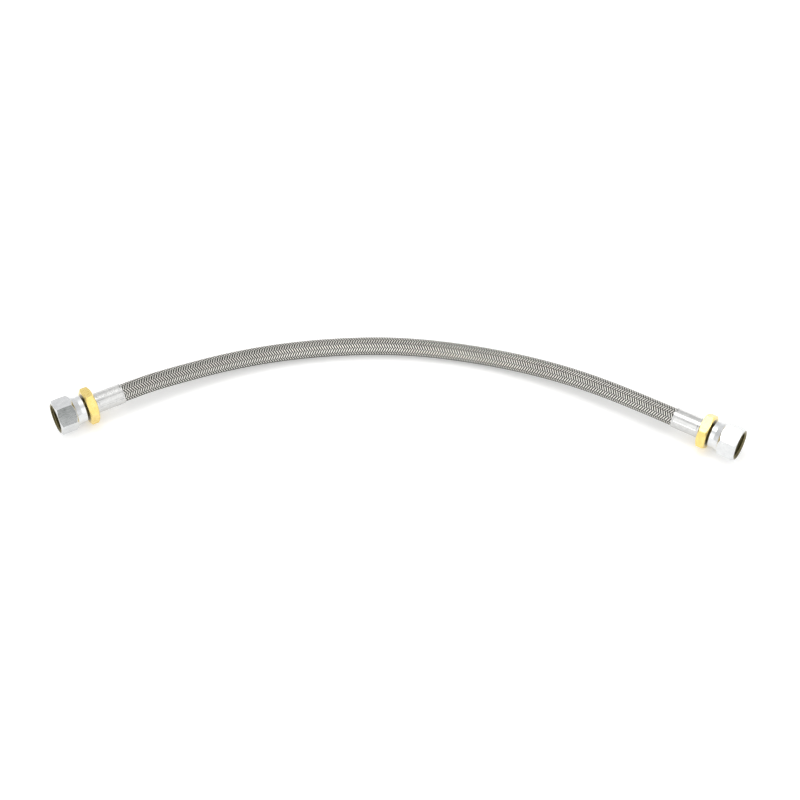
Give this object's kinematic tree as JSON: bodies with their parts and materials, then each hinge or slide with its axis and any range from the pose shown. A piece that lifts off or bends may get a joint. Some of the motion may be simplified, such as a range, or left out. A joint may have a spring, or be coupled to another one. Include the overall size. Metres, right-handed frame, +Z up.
{
  "type": "braided supply hose",
  "caption": "Flexible rubber supply hose in a stainless wire braid, lying in a gentle arc, with a crimped brass stem and a free-turning plated hex nut at either end.",
  "frame": {"origin": "centre of the bounding box, on the surface the hose lies on", "axes": "+X from the left fitting to the right one, along the longest extent; +Y towards the outside of the arc; +Z up"},
  "size_m": [0.5219, 0.1217, 0.0288],
  "materials": {
    "liner": "black EPDM rubber",
    "braid": "woven stainless wire",
    "stem": "turned brass",
    "ferrule": "smooth crimped stainless sheet",
    "ring": "spring wire",
    "washer": "moulded black rubber",
    "nut": "bright plated brass, unplated inside the thread"
  },
  "bodies": {
    "hose": {"inner_liner": "liner", "braid_sleeve": "braid", "left_stem": "stem", "left_ferrule": "ferrule", "right_stem": "stem", "right_ferrule": "ferrule"},
    "left_ring": {"left_retaining_ring": "ring", "left_sealing_washer": "washer"},
    "left_nut": {"left_swivel_nut": "nut"},
    "right_ring": {"right_retaining_ring": "ring", "right_sealing_washer": "washer"},
    "right_nut": {"right_swivel_nut": "nut"}
  },
  "joints": [
    {"name": "left_nut_swivel", "type": "hinge", "parent": "hose", "child": "left_ring", "pos_m": [-0.25593, -0.02488, 0.0145], "axis": [0.8875, 0.4608, 0], "continuous": true},
    {"name": "left_nut_slide", "type": "slide", "parent": "left_ring", "child": "left_nut", "axis": [0.8875, 0.4608, 0], "range_m": [0, 0.001]},
    {"name": "right_nut_swivel", "type": "hinge", "parent": "hose", "child": "right_ring", "pos_m": [0.25477, -0.04999, 0.0138], "axis": [-0.8662, 0.4997, 0], "continuous": true},
    {"name": "right_nut_slide", "type": "slide", "parent": "right_ring", "child": "right_nut", "axis": [-0.8662, 0.4997, 0], "range_m": [0, 0.001]}
  ]
}
